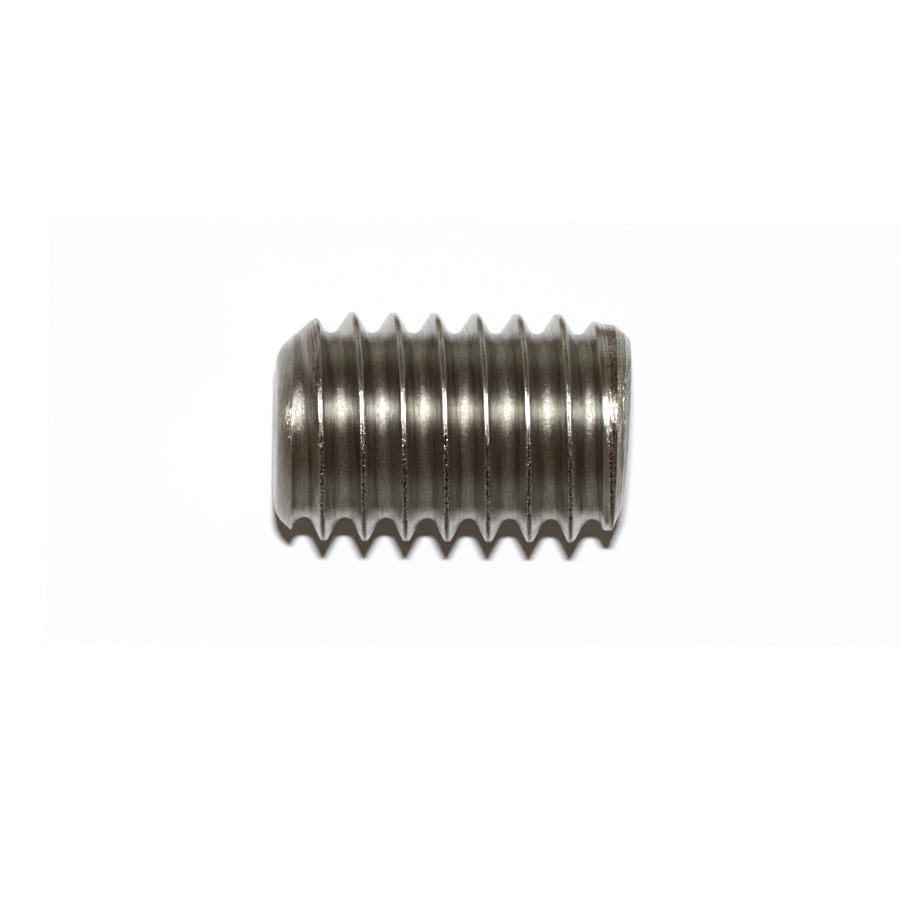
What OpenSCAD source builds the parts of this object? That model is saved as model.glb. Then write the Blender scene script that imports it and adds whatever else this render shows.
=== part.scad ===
// Grub set screw, M4 x 6, with a coarse right-hand thread, a flat point and a hexagon socket.
// The screw stands on its point: its axis is +Z, and the point's face lies on Z = 0.
// The socket opens upwards. Lengths are in millimetres, angles in degrees.

/* [Body] */
// Length over both end faces
screw_length = 6; // [5:0.5:12]
// Diameter of the point's face, at the corner with its chamfer
point_d = 2.82; // [2.2:0.02:2.9]
// Slope of the point's chamfer, from the axis
point_angle = 41.5; // [35:0.5:50]
// Radius that blends the point's face into its chamfer
point_edge_r = 0.25; // [0.05:0.01:0.4]
// Diameter of the socket end's face, at the corner with its chamfer
head_d = 3.04; // [2.8:0.02:3.2]
// Slope of the socket end's chamfer, from the axis
head_angle = 36; // [30:1:50]
// Radius that blends the socket end's face into its chamfer
head_edge_r = 0.15; // [0.05:0.01:0.25]
// Diameter of the plain shoulder between the last crest and the socket end's chamfer
shoulder_d = 3.58; // [3.5:0.02:3.7]
// Width of that shoulder
shoulder_w = 0.24; // [0.1:0.02:0.4]
// Slope of the last crest's taper down to the shoulder, from the axis
taper_angle = 41; // [30:1:50]

/* [Thread] */
// Diameter over the crests
thread_d = 3.88; // [3.84:0.01:3.98]
// Pitch
pitch = 0.7; // [0.6:0.05:0.75]
// Angle between the two flanks of a groove
flank_angle = 60; // [56:1:64]
// Width of the land on the crest
crest_land = 0.0875; // [0.06:0.0025:0.12]
// Radius of the groove's rounded bottom
root_r = 0.14; // [0.1:0.005:0.15]
// Height of the lowest crest above the point's face, on the +X side
first_crest = 0.208; // [0:0.001:0.6]
// Height of the last groove's end below the socket end's face
runout_depth = 0.227; // [0.1:0.001:0.6]
// Angle round the axis over which the last groove fades out
runout_angle = 108; // [45:1:180]

/* [Socket] */
// Width across the hexagon's flats
socket_af = 2; // [1.5:0.05:2.1]
// Depth of the flats
socket_depth = 2.5; // [1.5:0.1:3]
// Angle of the drill point below the flats
drill_angle = 120; // [90:1:140]
// Diameter of the countersink at the mouth
mouth_d = 2.5; // [2.44:0.02:2.7]
// Angle of the countersink at the mouth
mouth_angle = 120; // [90:1:120]

/* [Hidden] */

crest_r = thread_d / 2;
flank = flank_angle / 2;
socket_corner_r = socket_af / 2 / cos(30);

// The groove's bottom is an arc that meets both flanks at a tangent
groove_half = (pitch - crest_land) / 2;
root_centre = (groove_half - root_r / cos(flank)) / tan(flank);
root_steps = 4;

// The swept thread has this many sides to a turn. It stands proud of the crests, and the
// body's outline trims it to the true diameter. It runs on past both end faces too.
sides = 48;
proud = 0.02;
low_turn = -2 - ceil(first_crest / pitch);
turns = ceil((screw_length - first_crest) / pitch) + 2 - low_turn;

edge_steps = 4;
round_fn = 96;
past = 0.1;

// One pitch of the thread as [radius, height]: the land's two edges, then the groove's arc
land_half = crest_land / 2 - proud * tan(flank);
one_pitch = concat(
    [[crest_r + proud, -land_half], [crest_r + proud, land_half]],
    [for (i = [0:root_steps])
        let (a = (90 - flank) * (2 * i / root_steps - 1))
        [crest_r - root_centre - root_r * cos(a), pitch / 2 + root_r * sin(a)]]);
per_turn = len(one_pitch);
column = turns * per_turn;

// The last groove fades out between these two turns, counted from the lowest crest
runout_end = (screw_length - runout_depth - first_crest) / pitch - 0.5;
runout_start = runout_end - runout_angle / 360;

// Share of its depth that the groove has left at a turn
function depth_left(turn) =
    let (t = max(0, min(1, (turn - runout_start) / (runout_end - runout_start))))
    1 - t * t * (3 - 2 * t);

// Columns of points stand side by side round the axis, and each is a little higher than
// the last. Past the last column comes the first one again, one turn higher.
function turned(side, j) =
    let (p = one_pitch[j % per_turn], a = 360 * side / sides,
         turn = low_turn + floor(j / per_turn) + side / sides,
         r = crest_r + proud - (crest_r + proud - p[0]) * depth_left(turn))
    [r * cos(a), r * sin(a), first_crest + pitch * turn + p[1]];

function at(side, j) = side < sides ? side * (column + 1) + j : j + per_turn;

module swept_thread() {
    last = sides - 1;
    foot = sides * (column + 1);
    top = foot + 1;
    points = concat(
        [for (side = [0:last], j = [0:column]) turned(side, j)],
        [[0, 0, first_crest + pitch * (low_turn + 0.5)],
         [0, 0, first_crest + pitch * (low_turn + turns + 0.5)]]);
    walls = [for (side = [0:last], j = [0:column - 1 - (side < last ? 0 : per_turn)])
        each [[at(side, j), at(side, j + 1), at(side + 1, j + 1)],
              [at(side, j), at(side + 1, j + 1), at(side + 1, j)]]];
    // Each end closes in a fan from a point on the axis, which takes in the step of one turn
    foot_fan = concat(
        [for (side = [0:last]) [foot, at(side, 0), at(side + 1, 0)]],
        [for (j = [0:per_turn - 1]) [foot, at(0, j + 1), at(0, j)]]);
    top_fan = concat(
        [for (side = [0:last - 1]) [top, at(side + 1, column), at(side, column)]],
        [[top, at(0, column), at(last, column - per_turn)]],
        [for (j = [column - per_turn:column - 1]) [top, at(last, j), at(last, j + 1)]]);
    polyhedron(points, concat(walls, foot_fan, top_fan), convexity = 12);
}

// Arc from an end face into its chamfer, as [radius, distance from the face]
function blended_edge(corner_r, angle, blend) =
    [for (i = [0:edge_steps])
        let (a = (90 - angle) * i / edge_steps)
        [corner_r - blend * tan((90 - angle) / 2) + blend * sin(a), blend * (1 - cos(a))]];

// The outline that the body is turned to: both faces, their chamfers, the crests and the shoulder
module turned_outline() {
    point_edge = blended_edge(point_d / 2, point_angle, point_edge_r);
    head_edge = blended_edge(head_d / 2, head_angle, head_edge_r);
    shoulder_r = shoulder_d / 2;
    shoulder_top = screw_length - (shoulder_r - head_d / 2) / tan(head_angle);
    shoulder_foot = shoulder_top - shoulder_w;
    rotate_extrude($fn = round_fn)
        polygon(concat(
            [[0, 0]],
            point_edge,
            [[crest_r, (crest_r - point_d / 2) / tan(point_angle)],
             [crest_r, shoulder_foot - (crest_r - shoulder_r) / tan(taper_angle)],
             [shoulder_r, shoulder_foot],
             [shoulder_r, shoulder_top]],
            [for (i = [edge_steps:-1:0]) [head_edge[i][0], screw_length - head_edge[i][1]]],
            [[0, screw_length]]));
}

module socket() {
    flats_end = screw_length - socket_depth;
    translate([0, 0, flats_end])
        cylinder(h = socket_depth + past, r = socket_corner_r, $fn = 6);
    // The drill point's cone runs out to the flats
    drill_r = socket_af / 2;
    drill_h = drill_r / tan(drill_angle / 2);
    translate([0, 0, flats_end - drill_h])
        cylinder(h = drill_h, r1 = 0, r2 = drill_r, $fn = round_fn);
    mouth_h = mouth_d / 2 / tan(mouth_angle / 2);
    translate([0, 0, screw_length - mouth_h])
        cylinder(h = mouth_h, r1 = 0, r2 = mouth_d / 2, $fn = round_fn);
}

module set_screw() {
    color("#8d8a82")
        difference() {
            intersection() {
                swept_thread();
                turned_outline();
            }
            socket();
        }
}

set_screw();
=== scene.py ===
import math
import random

import bmesh
import bpy
from mathutils import Matrix, Vector


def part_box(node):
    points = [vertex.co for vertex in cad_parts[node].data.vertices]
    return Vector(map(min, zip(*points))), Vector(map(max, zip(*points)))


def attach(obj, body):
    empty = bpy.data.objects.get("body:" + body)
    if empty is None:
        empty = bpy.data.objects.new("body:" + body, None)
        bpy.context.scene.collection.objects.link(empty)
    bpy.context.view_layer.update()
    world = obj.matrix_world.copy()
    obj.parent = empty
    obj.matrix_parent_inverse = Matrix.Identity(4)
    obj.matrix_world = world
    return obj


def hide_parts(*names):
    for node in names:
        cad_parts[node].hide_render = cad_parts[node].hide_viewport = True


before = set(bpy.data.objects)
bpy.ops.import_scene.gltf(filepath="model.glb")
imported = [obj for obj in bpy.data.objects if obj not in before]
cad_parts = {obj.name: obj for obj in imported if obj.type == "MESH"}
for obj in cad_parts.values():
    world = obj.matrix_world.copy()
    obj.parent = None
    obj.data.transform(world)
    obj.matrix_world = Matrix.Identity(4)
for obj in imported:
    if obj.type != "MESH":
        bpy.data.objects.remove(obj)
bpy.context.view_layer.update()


# ---------------------------------------------------------------- rolled thread
# The screw is one piece of stainless steel wire. Flat dies roll the thread into it: they press
# the grooves in, and the steel that they push aside rises to the crests, where its two halves
# meet in a fine seam. Lengths are in millimetres, until the finished mesh is brought to metres.

MM = 0.001
screw_lo, screw_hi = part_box("set_screw")
screw_length = (screw_hi.z - screw_lo.z) / MM
crest_r = (screw_hi.x - screw_lo.x) / 2 / MM

pitch = 0.7
flank = math.radians(30)
half_land = 0.045
land_rounding = 0.025
seam_half = 0.009
seam_depth = 0.012
root_r = 0.158
root_steps = 14
first_crest = 0.208
steps_a_turn = 180
turns = 12
turns_below = 2
end_spare = 0.4

# The dies were not quite in line: the crests lean, and the grooves are shallower on one side
crest_lean = 0.025
shallow_side = 0.025

# The mesh: the flanks' long edges are cut up, and vertices this close to each other are merged
longest_edge = 0.15
flank_cuts = 6
merge_reach = 0.002
tolerance = 1e-4


def polyline(bm, points):
    """Joins points of the X-Z plane with edges, and returns the vertices."""
    verts = [bm.verts.new((r, 0, z)) for r, z in points]
    for a, b in zip(verts, verts[1:]):
        bm.edges.new((a, b))
    return verts


def round_corners(bm, verts, reach, segments):
    """Rounds corners of a polyline, from this reach along the edges on either side."""
    bmesh.ops.bevel(bm, geom=verts, offset=reach, offset_type="OFFSET", affect="VERTICES",
                    segments=segments, profile=0.5, material=-1)


def close_end(bm, height, keep):
    """Cuts away what lies past a height, and closes the cut. keep is 1 for above, -1 for below."""
    everything = bm.verts[:] + bm.edges[:] + bm.faces[:]
    bmesh.ops.bisect_plane(bm, geom=everything, plane_co=(0, 0, height), plane_no=(0, 0, keep),
                           clear_inner=True)
    rim = [e for e in bm.edges if e.is_boundary
           and all(abs(v.co.z - height) < tolerance for v in e.verts)]
    bmesh.ops.edgeloop_fill(bm, edges=rim)


def mesh_object(bm, name):
    """Turns a bmesh into an object of the scene."""
    mesh = bpy.data.meshes.new(name)
    bm.to_mesh(mesh)
    bm.free()
    made = bpy.data.objects.new(name, mesh)
    bpy.context.scene.collection.objects.link(made)
    return made


def share(value, start, end):
    """How far a value has come on its way from start to end, from 0 to 1."""
    return min(1, max(0, (value - start) / (end - start)))


# One pitch of the profile, from a crest's seam to the next. The root is an arc between the flanks
v_depth = (pitch / 2 - half_land) / math.tan(flank)
thread_depth = v_depth - root_r * (1 / math.sin(flank) - 1)
root_centre = crest_r - thread_depth + root_r
root = [(-0.5 + i / root_steps) * (math.pi - 2 * flank) for i in range(root_steps + 1)]
bm = bmesh.new()
profile = polyline(bm, [
    (crest_r - seam_depth, 0),
    (crest_r, seam_half),
    (crest_r, half_land),
    *[(root_centre - root_r * math.cos(a), pitch / 2 + root_r * math.sin(a)) for a in root],
    (crest_r, pitch - half_land),
    (crest_r, pitch - seam_half),
    (crest_r - seam_depth, pitch),
])
round_corners(bm, [profile[2], profile[-3]], reach=land_rounding, segments=4)
long_edges = [e for e in bm.edges if e.calc_length() > longest_edge]
bmesh.ops.subdivide_edges(bm, edges=long_edges, cuts=flank_cuts)

# One turn starts under the point, at the angle of +X, and the others stand on top of it
bmesh.ops.translate(bm, verts=bm.verts[:], vec=(0, 0, first_crest - turns_below * pitch))
bmesh.ops.spin(bm, geom=bm.verts[:] + bm.edges[:], cent=(0, 0, 0), axis=(0, 0, 1),
               dvec=(0, 0, pitch / steps_a_turn), angle=2 * math.pi,
               steps=steps_a_turn, use_merge=False)
one_turn = bm.verts[:] + bm.edges[:] + bm.faces[:]
for turn in range(1, turns):
    copied = bmesh.ops.duplicate(bm, geom=one_turn)["geom"]
    bmesh.ops.translate(bm, vec=(0, 0, pitch * turn),
                        verts=[g for g in copied if isinstance(g, bmesh.types.BMVert)])
bmesh.ops.remove_doubles(bm, verts=bm.verts[:], dist=merge_reach)

# The last groove runs out where the dies' grip ends, a quarter of a turn before the socket end.
# The blank was chamfered at both ends, so that the outer crests found too little steel and
# stayed low. The chamfer at the point is a little off centre
runout_start, runout_end = 7.15, 7.45
low_from, low_to = 5.1, 5.46
low_by, low_slope = 0.15, 0.14
low_rounding = 0.06
point_z = 0.02
point_r = 1.395
point_angle = math.radians(41.5)
point_off_centre = 0.11
cut_margin = 0.02
for v in bm.verts:
    r = math.hypot(v.co.x, v.co.y)
    angle = math.atan2(v.co.y, v.co.x) % (2 * math.pi)
    height = (v.co.z - first_crest) / pitch - angle / (2 * math.pi)
    # Turns along the helix, counted from the lowest crest
    rolled = math.floor(height + tolerance) + angle / (2 * math.pi)
    out = share(rolled, runout_start, runout_end)
    from_seam = abs(height - round(height)) * pitch
    seam = seam_depth * max(0, 1 - from_seam / seam_half)
    depth = (crest_r - r - seam) * (1 - out * out * (3 - 2 * out))
    low = low_by * share(v.co.z, low_from, low_to)
    low += low_slope * max(0, v.co.z - low_to)
    past_chamfer = crest_r - point_r - (v.co.z - point_z) * math.tan(point_angle)
    low = max(low, past_chamfer - point_off_centre * math.cos(angle) - cut_margin)
    # A low crest blends into the grooves beside it
    if low > 0:
        depth = (depth + low + math.hypot(depth - low, min(low, low_rounding))) / 2
    shallow = shallow_side * math.cos(angle) * min(1, depth / thread_depth)
    r_new = crest_r - depth - seam - shallow
    v.co.x, v.co.y = v.co.x * r_new / r, v.co.y * r_new / r
close_end(bm, -end_spare, 1)
close_end(bm, screw_length + end_spare, -1)
bmesh.ops.recalc_face_normals(bm, faces=bm.faces[:])
thread_rod = mesh_object(bm, "thread_rod")


def linear(hex_colour):
    """A linear RGBA colour from an sRGB hex value."""
    parts = [int(hex_colour[i:i + 2], 16) / 255 for i in (1, 3, 5)]
    return (*[c / 12.92 if c <= 0.04045 else ((c + 0.055) / 1.055) ** 2.4 for c in parts], 1)


def empty_material(name):
    """A material whose nodes are still to come."""
    made = bpy.data.materials.new(name)
    made.use_nodes = True
    made.node_tree.nodes.clear()
    return made


def add(material, kind, inputs=(), **settings):
    """Adds a node with its settings and links. An input is a plain value, an output, or a node,
    which stands for its first output in use."""
    node = material.node_tree.nodes.new("ShaderNode" + kind)
    for key, value in settings.items():
        setattr(node, key, value)
    for key, value in dict(inputs).items():
        if isinstance(value, bpy.types.Node):
            value = next(output for output in value.outputs if output.enabled)
        if isinstance(value, bpy.types.NodeSocket):
            material.node_tree.links.new(value, node.inputs[key])
        else:
            node.inputs[key].default_value = value
    return node


def millimetres(material):
    """The place on the screw, in millimetres."""
    place = add(material, "TexCoord").outputs["Object"]
    return add(material, "VectorMath", {0: place, "Scale": 1 / MM}, operation="SCALE")


# Rolled steel: the dies draw fine streaks round the thread, the roots keep an orange-peel grain,
# and the crests' folded seams are torn and dark with oil inside. The crests get a lighter colour,
# a painted highlight
cool_steel = linear("#b1b1ac")
warm_steel = linear("#aba9a1")
streak_grey = linear("#8b857a")
grain_grey = linear("#8b8478")
# The next colour is a painted highlight on the crests
crest_painted_highlight = linear("#c6c4bc")
thin_oil = linear("#6d574b")
# The next dark is oil, which is also painted shade on the side away from the lamps
oil_and_shade_brown = linear("#3e2f26")
streaks_a_mm = 16
grains_a_mm = 28
tears_a_mm = 34
stains_a_mm = 1.3

rolled_steel = empty_material("rolled_stainless_steel")
m = rolled_steel
in_mm = millimetres(m)
x, y, z = add(m, "SeparateXYZ", {0: in_mm}).outputs
unleaned = add(m, "Math", {0: x, 1: crest_lean, 2: z}, operation="MULTIPLY_ADD")
height = add(m, "Math", {0: unleaned, 1: 1 / pitch, 2: -first_crest / pitch},
             operation="MULTIPLY_ADD")
angle = add(m, "Math", {0: y, 1: x}, operation="ARCTAN2")
# Across the profile: 0 and 1 on the crests' seams, 0.5 in the root
unwound = add(m, "Math", {0: angle, 1: -1 / (2 * math.pi), 2: height}, operation="MULTIPLY_ADD")
across = add(m, "Math", {0: unwound}, operation="FRACT")
# How far a streak is drawn out, round the thread and up it
drawn_round = 26
drawn_up = 3
across_mm = add(m, "Math", {0: across, 1: pitch}, operation="MULTIPLY")
drawn_x = add(m, "Math", {0: x, 1: drawn_round}, operation="DIVIDE")
drawn_y = add(m, "Math", {0: y, 1: drawn_round}, operation="DIVIDE")
drawn_z = add(m, "Math", {0: z, 1: drawn_up}, operation="DIVIDE")
streak_place = add(m, "CombineXYZ", {0: across_mm, 1: drawn_x, 2: drawn_y})
streaks = add(m, "TexNoise", {
    "Vector": streak_place, "W": drawn_z, "Scale": streaks_a_mm, "Detail": 4,
    "Roughness": 0.75}, noise_dimensions="4D")
grain = add(m, "TexNoise", {
    "Vector": in_mm, "Scale": grains_a_mm, "Detail": 2, "Roughness": 0.7})
torn = add(m, "TexNoise", {"Vector": in_mm, "Scale": tears_a_mm, "Detail": 1, "Roughness": 0.5})
off_root = add(m, "Math", {0: across, 1: 0.5}, operation="SUBTRACT")
from_root = add(m, "Math", {0: off_root}, operation="ABSOLUTE")
on_crest = add(m, "MapRange", {"Value": from_root, "From Min": 0.425, "From Max": 0.445})
in_root = add(m, "MapRange", {"Value": from_root, "From Min": 0.24, "From Max": 0.1})

# The grain is highest in the roots. The crests are more pitted on the +X side, away from the lamps
grain_share = add(m, "MapRange", {"Value": in_root, "To Min": 0.6, "To Max": 1.2})
grain_height = add(m, "Math", {0: grain, 1: grain_share}, operation="MULTIPLY")
# The +X side is away from the lamps; the crests' dark marks are kept to it, partly painted shade
away_from_lamps = add(m, "MapRange", {"Value": x, "From Min": -0.2, "From Max": 0.15})
torn_share = add(m, "MapRange", {"Value": away_from_lamps, "To Min": 0.5, "To Max": 2.4})
torn_crests = add(m, "Math", {0: torn, 1: on_crest}, operation="MULTIPLY")
torn_height = add(m, "Math", {0: torn_crests, 1: torn_share}, operation="MULTIPLY")
# The dies only half filled the first groove, which kept the blank's deeper tool marks
first_groove = add(m, "MapRange", {"Value": z, "From Min": 0.78, "From Max": 0.6})
streak_share = add(m, "MapRange", {"Value": first_groove, "To Min": 2.2, "To Max": 3.2})
streak_height = add(m, "Math", {0: streaks, 1: streak_share}, operation="MULTIPLY")
drawn_height = add(m, "Math", {0: streak_height, 1: grain_height}, operation="ADD")
relief = add(m, "Math", {0: drawn_height, 1: torn_height}, operation="ADD")
relief_depth = 0.006
bumps = add(m, "Bump", {"Height": relief, "Strength": 1.0, "Distance": relief_depth * MM})

# The streaks and the grain darken the steel where they are deep, and the crests get a lighter
# colour, a painted highlight
stain = add(m, "TexNoise", {"Vector": in_mm, "Scale": stains_a_mm, "Detail": 2})
stained = add(m, "MapRange", {"Value": stain, "From Min": 0.4, "From Max": 0.65})
body_colour = add(m, "Mix", {0: stained, 6: cool_steel, 7: warm_steel}, data_type="RGBA")
deep_streaks = add(m, "MapRange", {"Value": streaks, "From Min": 0.52, "From Max": 0.38})
streaked = add(m, "Mix", {0: deep_streaks, 6: body_colour, 7: streak_grey}, data_type="RGBA")
low_grain = add(m, "MapRange", {"Value": grain, "From Min": 0.5, "From Max": 0.42})
deep_grain = add(m, "Math", {0: in_root, 1: low_grain}, operation="MULTIPLY")
grained = add(m, "Mix", {0: deep_grain, 6: streaked, 7: grain_grey}, data_type="RGBA")
# A lighter colour on the crests: a painted highlight
crest_highlighted = add(m, "Mix", {0: on_crest, 6: grained, 7: crest_painted_highlight}, data_type="RGBA")

# The steel beside the first crest and the last one is torn too, and holds a thin film of oil
last_crest_z = 5.655
last_crest_blend = 0.02
shoulder_tip = -0.039
tipped = add(m, "Math", {0: x, 1: shoulder_tip, 2: z}, operation="MULTIPLY_ADD")
last_edge = add(m, "MapRange", {
    "Value": tipped, "From Min": last_crest_z, "From Max": last_crest_z + last_crest_blend})
up_the_flank = add(m, "MapRange", {"Value": from_root, "From Min": 0.3, "From Max": 0.36})
first_flank = add(m, "Math", {0: first_groove, 1: up_the_flank}, operation="MULTIPLY")
one_side = add(m, "MapRange", {"Value": x, "From Min": 0.5, "From Max": 0.1})
first_edge = add(m, "Math", {0: first_flank, 1: one_side}, operation="MULTIPLY")
either_edge = add(m, "Math", {0: last_edge, 1: first_edge}, operation="MAXIMUM")
tear_floors = add(m, "MapRange", {"Value": torn, "From Min": 0.56, "From Max": 0.44})
filmed = add(m, "Math", {0: either_edge, 1: tear_floors}, operation="MULTIPLY")
filmed_colour = add(m, "Mix", {0: filmed, 6: crest_highlighted, 7: thin_oil}, data_type="RGBA")

# Oil has gathered in the torn seams and in the crests' pits. Its dark is kept to the +X side, away
# from the lamps, and cleared from the lit side: partly real oil, partly painted shade
lit_side_clearing = 0.12
lamp_side_minus = add(m, "Math", {0: away_from_lamps, 1: 1}, operation="SUBTRACT")
painted_lit_clearing = add(m, "Math", {0: lamp_side_minus, 1: lit_side_clearing}, operation="MULTIPLY")
oil = add(m, "Math", {0: torn, 1: painted_lit_clearing}, operation="ADD")
on_seam = add(m, "MapRange", {"Value": from_root, "From Min": 0.45, "From Max": 0.47})
much_oil = add(m, "MapRange", {"Value": oil, "From Min": 0.47, "From Max": 0.53})
seam_oil_and_shade = add(m, "Math", {0: on_seam, 1: much_oil}, operation="MULTIPLY")
crests_away_from_lamps = add(m, "Math", {0: on_crest, 1: away_from_lamps}, operation="MULTIPLY")
pit_floors = add(m, "MapRange", {"Value": grain, "From Min": 0.49, "From Max": 0.43})
pits_and_painted_shade = add(m, "Math", {0: crests_away_from_lamps, 1: pit_floors}, operation="MULTIPLY")
oil_and_painted_shade = add(m, "Math", {0: seam_oil_and_shade, 1: pits_and_painted_shade}, operation="MAXIMUM")
colour = add(m, "Mix", {0: oil_and_painted_shade, 6: filmed_colour, 7: oil_and_shade_brown}, data_type="RGBA")

# The streaks stretch the lamp's shine across them, and the grained roots are the dullest
root_dullness = 0.4
added_dullness = add(m, "Math", {0: in_root, 1: root_dullness}, operation="MULTIPLY")
dullness = add(m, "Math", {0: streaks, 1: added_dullness}, operation="ADD")
roughness = add(m, "MapRange", {
    "Value": dullness, "From Min": 0.3, "From Max": 1.1, "To Min": 0.14, "To Max": 0.46})
stretch = add(m, "MapRange", {"Value": in_root, "To Min": 0.85, "To Max": 0.92})
tangent = add(m, "Tangent", direction_type="RADIAL", axis="Z")
shader = add(m, "BsdfPrincipled", {
    "Base Color": colour, "Metallic": 1.0, "Roughness": roughness, "Normal": bumps,
    "Anisotropic": stretch, "Anisotropic Rotation": 0.25, "Tangent": tangent})
add(m, "OutputMaterial", {"Surface": shader})


# ---------------------------------------------------------------- turned ends
# Both ends are faced and chamfered on a lathe before the rolling. The form tool leaves fine
# ridges, and it cut both ends a little off centre and out of square.

point_blend = 0.2
shoulder_r = 1.79
shoulder_z = 5.72
shoulder_rounding = 0.05
rim_r = 1.50
rim_z = 5.93
rim_rounding = 0.06
socket_face_z = 5.975
mouth_r = 1.25
face_ring = 0.17
clear_r = 2.5
taper_length = 0.70
point_tip = 0.018
rim_off_centre = 0.095
rim_tip = 0.017
shoulder_off_centre = 0.025
ridge_height = 0.006
ridge_cuts = 24
shortest_chamfer = 0.05
axis_merge_reach = 0.0005

bm = bmesh.new()
outline = polyline(bm, [
    (0, point_z),
    (point_r, point_z),
    (clear_r, point_z + (clear_r - point_r) / math.tan(point_angle)),
    (clear_r, shoulder_z - taper_length),
    (shoulder_r, shoulder_z),
    (rim_r, rim_z),
    (mouth_r + face_ring, socket_face_z),
    (0, socket_face_z),
])
round_corners(bm, [outline[1]], reach=point_blend, segments=6)
round_corners(bm, [outline[4]], reach=shoulder_rounding, segments=3)
round_corners(bm, [outline[5], outline[6]], reach=rim_rounding, segments=4)
chamfers = [e for e in bm.edges
            if abs(e.verts[0].co.x - e.verts[1].co.x) > shortest_chamfer
            and abs(e.verts[0].co.z - e.verts[1].co.z) > shortest_chamfer]
ridges = bmesh.ops.subdivide_edges(bm, edges=chamfers, cuts=ridge_cuts)
tool = random.Random(11)
for v in [g for g in ridges["geom_inner"] if isinstance(g, bmesh.types.BMVert)]:
    v.co.x += tool.uniform(-ridge_height, ridge_height)
bmesh.ops.spin(bm, geom=bm.verts[:] + bm.edges[:], cent=(0, 0, 0), axis=(0, 0, 1),
               angle=2 * math.pi, steps=steps_a_turn, use_merge=True)
bmesh.ops.remove_doubles(bm, verts=bm.verts[:], dist=axis_merge_reach)
for v in bm.verts:
    if v.co.z < screw_length / 2:
        v.co.x += point_off_centre
        v.co.z += point_tip * v.co.x
    else:
        to_rim = share(v.co.z, shoulder_z, socket_face_z)
        v.co.x -= shoulder_off_centre + (rim_off_centre - shoulder_off_centre) * to_rim
        v.co.z -= (shoulder_tip + (rim_tip - shoulder_tip) * to_rim) * v.co.x
bmesh.ops.recalc_face_normals(bm, faces=bm.faces[:])
turned_ends = mesh_object(bm, "turned_ends")

# Turned steel: rings round the axis, ragged where the tool tore the metal. Oil keeps to the torn
# edges beside the first and the last crest
ring_valleys = linear("#96928a")
ring_ridges = linear("#bdbcb3")
edge_oil = linear("#614c40")
rings_a_mm = 26
speckles_a_mm = 30

turned_steel = empty_material("turned_stainless_steel")
m = turned_steel
in_mm = millimetres(m)
x, y, z = add(m, "SeparateXYZ", {0: in_mm}).outputs
flat_place = add(m, "CombineXYZ", {0: x, 1: y})
from_axis = add(m, "VectorMath", {0: flat_place}, operation="LENGTH")
torn_out = 10
ring_slant = 0.8
across_rings = add(m, "Math", {0: z, 1: ring_slant, 2: from_axis}, operation="MULTIPLY_ADD")
drawn_x = add(m, "Math", {0: x, 1: torn_out}, operation="DIVIDE")
drawn_y = add(m, "Math", {0: y, 1: torn_out}, operation="DIVIDE")
ring_place = add(m, "CombineXYZ", {0: across_rings, 1: drawn_x, 2: drawn_y})
rings = add(m, "TexNoise", {
    "Vector": ring_place, "Scale": rings_a_mm, "Detail": 4, "Roughness": 0.7})
ring_depth = 0.03
bumps = add(m, "Bump", {"Height": rings, "Strength": 1.0, "Distance": ring_depth * MM})
ring_tops = add(m, "MapRange", {"Value": rings, "From Min": 0.35, "From Max": 0.6})
ringed = add(m, "Mix", {0: ring_tops, 6: ring_valleys, 7: ring_ridges}, data_type="RGBA")
speckles = add(m, "TexNoise", {
    "Vector": in_mm, "Scale": speckles_a_mm, "Detail": 1, "Roughness": 0.5})
speckled = add(m, "MapRange", {"Value": speckles, "From Min": 0.36, "From Max": 0.48})
by_crest = add(m, "MapRange", {"Value": from_axis, "From Min": 1.785, "From Max": 1.805})
oily_edge = add(m, "Math", {0: by_crest, 1: speckled}, operation="MULTIPLY")
colour = add(m, "Mix", {0: oily_edge, 6: ringed, 7: edge_oil}, data_type="RGBA")
roughness = add(m, "MapRange", {
    "Value": rings, "From Min": 0.3, "From Max": 0.7, "To Min": 0.18, "To Max": 0.32})
tangent = add(m, "Tangent", direction_type="RADIAL", axis="Z")
shader = add(m, "BsdfPrincipled", {
    "Base Color": colour, "Metallic": 1.0, "Roughness": roughness, "Normal": bumps,
    "Anisotropic": 0.7, "Anisotropic Rotation": 0.25, "Tangent": tangent})
add(m, "OutputMaterial", {"Surface": shader})


# ---------------------------------------------------------------- hexagon socket
# A punch broaches the socket for a 2 mm key into a drilled hole. The drill leaves a cone under
# the flats, and a shallow countersink at the mouth guides the key.

socket_af = 2.0
socket_depth = 2.5
corner_rounding = 0.04
drill_angle = math.radians(120)
mouth_angle = math.radians(120)
mouth_oversize = 1.15
overshoot = 0.3
corner_r = socket_af / 2 / math.cos(math.radians(30))
flats_end = screw_length - socket_depth

bm = bmesh.new()
corner_on_x = Matrix.Rotation(math.radians(30), 4, "Z")
bmesh.ops.create_circle(bm, cap_ends=True, segments=6, radius=corner_r,
                        matrix=Matrix.Translation((0, 0, flats_end)) @ corner_on_x)
grown = bmesh.ops.extrude_face_region(bm, geom=bm.faces[:])
lid = [g for g in grown["geom"] if isinstance(g, bmesh.types.BMVert)]
bmesh.ops.translate(bm, verts=lid, vec=(0, 0, socket_depth + overshoot))
corners = [e for e in bm.edges
           if abs(e.verts[0].co.z - e.verts[1].co.z) > socket_depth / 2]
bmesh.ops.bevel(bm, geom=corners, offset=corner_rounding, offset_type="OFFSET",
                affect="EDGES", segments=3, profile=0.5, material=-1)
bmesh.ops.recalc_face_normals(bm, faces=bm.faces[:])
flats = mesh_object(bm, "flats")


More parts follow.
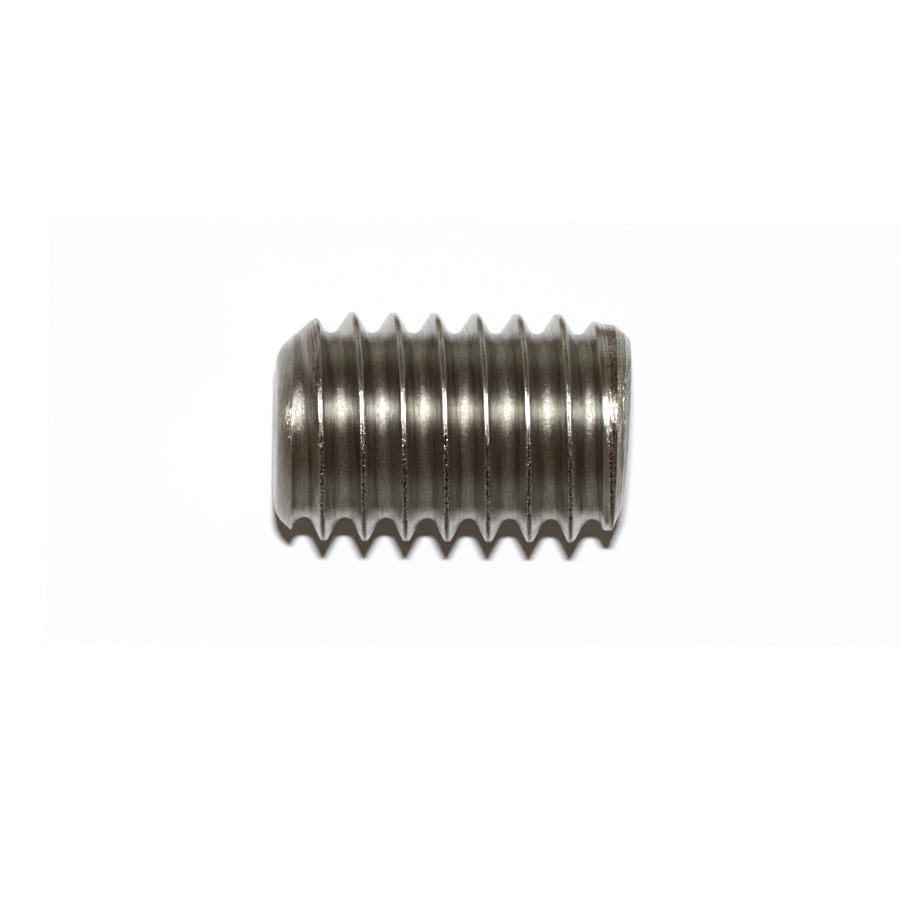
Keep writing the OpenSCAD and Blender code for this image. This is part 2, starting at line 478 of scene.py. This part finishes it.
def cone_cutter(name, tip_z, radius, full_angle):
    """A cone that opens upwards from its tip."""
    height = radius / math.tan(full_angle / 2)
    bm = bmesh.new()
    bmesh.ops.create_cone(bm, cap_ends=True, segments=steps_a_turn // 2, radius1=0, radius2=radius,
                          depth=height, matrix=Matrix.Translation((0, 0, tip_z + height / 2)))
    bmesh.ops.remove_doubles(bm, verts=bm.verts[:], dist=axis_merge_reach)
    bmesh.ops.recalc_face_normals(bm, faces=bm.faces[:])
    return mesh_object(bm, name)


drill_h = socket_af / 2 / math.tan(drill_angle / 2)
drill = cone_cutter("drill", flats_end - drill_h, socket_af / 2, drill_angle)
mouth_h = mouth_r / math.tan(mouth_angle / 2)
mouth = cone_cutter("mouth", socket_face_z - mouth_h, mouth_r * mouth_oversize, mouth_angle)

# Broached steel: scratches along the punch's way, and a duller face than outside
scratch_dark = linear("#857f74")
scratch_light = linear("#989287")
scratches_a_mm = 18

broached_steel = empty_material("broached_stainless_steel")
m = broached_steel
x, y, z = add(m, "SeparateXYZ", {0: millimetres(m)}).outputs
drawn_down = 12
drawn_z = add(m, "Math", {0: z, 1: drawn_down}, operation="DIVIDE")
scratch_place = add(m, "CombineXYZ", {0: x, 1: y, 2: drawn_z})
scratches = add(m, "TexNoise", {
    "Vector": scratch_place, "Scale": scratches_a_mm, "Detail": 3, "Roughness": 0.6})
scratch_depth = 0.006
bumps = add(m, "Bump", {"Height": scratches, "Strength": 1.0, "Distance": scratch_depth * MM})
colour = add(m, "Mix", {0: scratches, 6: scratch_dark, 7: scratch_light}, data_type="RGBA")
roughness = add(m, "MapRange", {
    "Value": scratches, "From Min": 0.3, "From Max": 0.7, "To Min": 0.3, "To Max": 0.45})
shader = add(m, "BsdfPrincipled", {
    "Base Color": colour, "Metallic": 1.0, "Roughness": roughness, "Normal": bumps})
add(m, "OutputMaterial", {"Surface": shader})

# The cuts, each with its own finish. They leave slivers, which are dissolved
sliver = 0.0004
sharp_edge = math.radians(32)
finishes = (rolled_steel, turned_steel, broached_steel)
for part, finish in ((thread_rod, 0), (turned_ends, 1), (flats, 2), (drill, 2), (mouth, 2)):
    for material in finishes:
        part.data.materials.append(material)
    for face in part.data.polygons:
        face.material_index = finish
for operation, cutter in (("INTERSECT", turned_ends), ("DIFFERENCE", flats),
                          ("DIFFERENCE", drill), ("DIFFERENCE", mouth)):
    cut = thread_rod.modifiers.new(operation, "BOOLEAN")
    cut.operation = operation
    cut.solver = "MANIFOLD"
    cut.object = cutter
evaluated = thread_rod.evaluated_get(bpy.context.evaluated_depsgraph_get())
bm = bmesh.new()
bm.from_mesh(evaluated.to_mesh())
evaluated.to_mesh_clear()
for helper in (thread_rod, turned_ends, flats, drill, mouth):
    bpy.data.objects.remove(helper)

bmesh.ops.dissolve_degenerate(bm, edges=bm.edges[:], dist=sliver)
for v in bm.verts:
    v.co.z -= crest_lean * v.co.x
for face in bm.faces:
    face.smooth = True
for edge in bm.edges:
    edge.smooth = edge.is_manifold and edge.calc_face_angle() < sharp_edge
bmesh.ops.scale(bm, vec=(MM, MM, MM), verts=bm.verts[:])
screw = mesh_object(bm, "set_screw_steel")
for material in finishes:
    screw.data.materials.append(material)
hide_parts("set_screw")
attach(screw, "root")


# ---------------------------------------------------------------- ground
# White paper lies close behind the screw's crests. The screw stands on its point, so the paper
# stands too. It is a narrow sheet, past which the steel reflects the dim tent, and it can be
# seen through from behind.

def flat_sheet(name, width, depth, matrix, material):
    """A flat sheet of the stage, of this size, which the matrix puts in its place."""
    bm = bmesh.new()
    bmesh.ops.create_grid(bm, x_segments=1, y_segments=1, size=0.5)
    bmesh.ops.scale(bm, vec=(width, depth, 1), verts=bm.verts[:])
    bmesh.ops.transform(bm, matrix=matrix, verts=bm.verts[:])
    made = mesh_object(bm, name)
    made.data.materials.append(material)
    return made


# The paper is a faintly blue white, as brightened paper is, in the tent's warm light
paper = empty_material("white_paper")
backfacing = add(paper, "NewGeometry").outputs["Backfacing"]
front = add(paper, "BsdfDiffuse", {"Color": linear("#f0f2f5")})
clear = add(paper, "BsdfTransparent")
one_sided = add(paper, "MixShader", {0: backfacing, 1: front, 2: clear})
add(paper, "OutputMaterial", {"Surface": one_sided})

sheet_width = 7.2
sheet_height = 24
sheet_x = 0.1
sheet_z = 8.2
paper_gap = 0.01
paper_y = (crest_r + paper_gap) * MM
upright = Matrix.Rotation(math.radians(90), 4, "X")
sheet_place = Matrix.Translation((sheet_x * MM, paper_y, sheet_z * MM))
sheet = flat_sheet("paper_sheet", sheet_width * MM, sheet_height * MM,
                   sheet_place @ upright, paper)


# ---------------------------------------------------------------- tent, cards and lamps
# A dim warm cloth tent stands round the screw, so that its steel stays dark beside the light of
# one soft lamp. Two pale cards stand in it, one on either side. The lower one reaches from a
# little before the paper to behind it, and the upper one starts level with the paper.

# The paper takes this dim brown from the tent and the cards alike
on_paper = "#54493a"


def cloth(name, hex_colour):
    """A cloth that the steel reflects, and that isn't in the camera's way."""
    made = empty_material(name)
    rays = add(made, "LightPath").outputs
    shown = add(made, "Mix", {
        0: rays["Is Diffuse Ray"], 6: linear(hex_colour), 7: linear(on_paper)}, data_type="RGBA")
    glow = add(made, "Emission", {"Color": shown, "Strength": 1.0})
    unseen = add(made, "BsdfTransparent")
    mixed = add(made, "MixShader", {0: rays["Is Camera Ray"], 1: glow, 2: unseen})
    add(made, "OutputMaterial", {"Surface": mixed})
    return made


# Lengths are in metres for the tent, the cards and the lamps
tent_r = 0.9
bm = bmesh.new()
bmesh.ops.create_uvsphere(bm, u_segments=48, v_segments=24, radius=tent_r)
bmesh.ops.reverse_faces(bm, faces=bm.faces[:])
tent = mesh_object(bm, "tent")
tent.data.materials.append(cloth("tent_cloth", "#7a6c60"))

middle = Vector((0, 0, screw_length / 2)) * MM
card_x = 0.3
card_length = 1.0
# Each card's side, and by how many degrees it reaches before the paper and behind it
for name, toward_x, before, behind, tone in (("lower_card", 1, 15, 32, "#b4b2aa"),
                                             ("upper_card", -1, 0, 35, "#bebbb0")):
    near_y = -card_x * math.tan(math.radians(before))
    far_y = card_x * math.tan(math.radians(behind))
    card_place = Matrix((
        (0, 0, -toward_x, toward_x * card_x),
        (toward_x, 0, 0, paper_y + (near_y + far_y) / 2),
        (0, 1, 0, middle.z),
        (0, 0, 0, 1)))
    card_cloth = cloth(name + "_cloth", tone)
    flat_sheet(name, far_y - near_y, card_length, card_place, card_cloth)

world = bpy.data.worlds.new("studio")
world.use_nodes = True
world.node_tree.nodes.clear()
bpy.context.scene.world = world
backdrop = add(world, "Background", {"Color": (1, 1, 1, 1), "Strength": 1.0})
add(world, "OutputWorld", {"Surface": backdrop})

lamp_distance = 0.5


def lamp(name, lean_up, lean_left, width, length, light, receiver):
    """A soft lamp that lights one thing. light is the white that it gives to white paper."""
    data = bpy.data.lights.new(name, "AREA")
    data.shape = "RECTANGLE"
    data.size = width
    data.size_y = length
    data.energy = light * (math.pi * lamp_distance) ** 2
    made = bpy.data.objects.new(name, data)
    up_x = -math.tan(math.radians(lean_up))
    left_z = -math.tan(math.radians(lean_left))
    way = Vector((up_x, -1, left_z)).normalized()
    made.location = middle + lamp_distance * way
    made.rotation_euler = (-way).to_track_quat("-Z", "Y").to_euler()
    bpy.context.scene.collection.objects.link(made)
    lit = bpy.data.collections.new(name + "_lights")
    lit.objects.link(receiver)
    made.light_linking.receiver_collection = lit


# A long lamp gives the steel its shine. A small one, which stands more nearly straight before
# the paper, gives it a short and crisp shadow
lamp("key_lamp", lean_up=19.8, lean_left=3, width=0.040, length=0.18, light=1.0, receiver=screw)
lamp("paper_lamp", lean_up=8.8, lean_left=1.8, width=0.012, length=0.034, light=1.05,
     receiver=sheet)


# ---------------------------------------------------------------- camera
# It looks almost straight at the screw's side with a long lens, turned so that the screw lies
# across the picture with its socket end to the right.

view_width = 15.29
camera_distance = 0.3
tilt = math.radians(2.3)
roll = math.radians(0.5)
aim = Vector((0.386, 0, 2.992)) * MM
cam_data = bpy.data.cameras.new("camera")
cam_data.lens = cam_data.sensor_width * camera_distance / (view_width * MM)
cam_data.clip_start = 0.01
cam_data.clip_end = 5
camera = bpy.data.objects.new("camera", cam_data)
bpy.context.scene.collection.objects.link(camera)
ahead = Vector((0, math.cos(tilt), math.sin(tilt)))
along_screw = Vector((0, -math.sin(tilt), math.cos(tilt)))
up = Vector((-1, 0, 0))
right_way = along_screw * math.cos(roll) + up * math.sin(roll)
up_way = up * math.cos(roll) - along_screw * math.sin(roll)
camera.matrix_world = (Matrix.Translation(aim - ahead * camera_distance)
                       @ Matrix((right_way, up_way, -ahead)).transposed().to_4x4())
bpy.context.scene.camera = camera
bpy.context.scene.view_settings.view_transform = "Standard"
